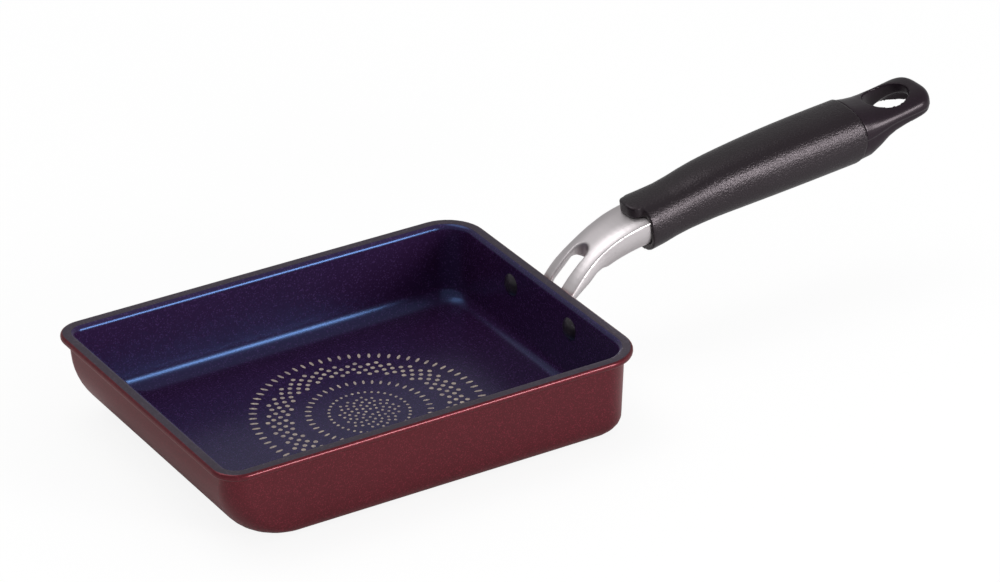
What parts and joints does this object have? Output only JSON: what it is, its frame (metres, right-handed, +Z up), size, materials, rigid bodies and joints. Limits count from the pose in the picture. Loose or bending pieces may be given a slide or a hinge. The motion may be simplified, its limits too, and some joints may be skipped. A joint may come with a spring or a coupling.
{
  "type": "rolled omelette pan",
  "caption": "Rectangular rolled-omelette frying pan with low walls, a slotted cast neck riveted to one end wall, and a long moulded grip whose end cap has a hanging slot.",
  "frame": {"origin": "middle of the pan's flat underside, on the plane that rests on the hob", "axes": "+X from the pan towards the handle, +Z up out of the pan, +Y across the pan so that the frame is right-handed"},
  "size_m": [0.3703, 0.142, 0.0804],
  "materials": {
    "pan_body": "satin",
    "induction_plate": "satin",
    "rivets": "satin",
    "neck": "satin",
    "grip": "matte",
    "end_cap": "satin",
    "handle_bolt": "satin",
    "flat_washer": "satin",
    "spring_washer": "satin"
  },
  "bodies": {
    "root": {"pan_body": "pan_body", "induction_plate": "induction_plate", "rivets": "rivets", "neck": "neck", "grip": "grip", "end_cap": "end_cap", "handle_bolt": "handle_bolt", "flat_washer": "flat_washer", "spring_washer": "spring_washer"}
  },
  "joints": []
}
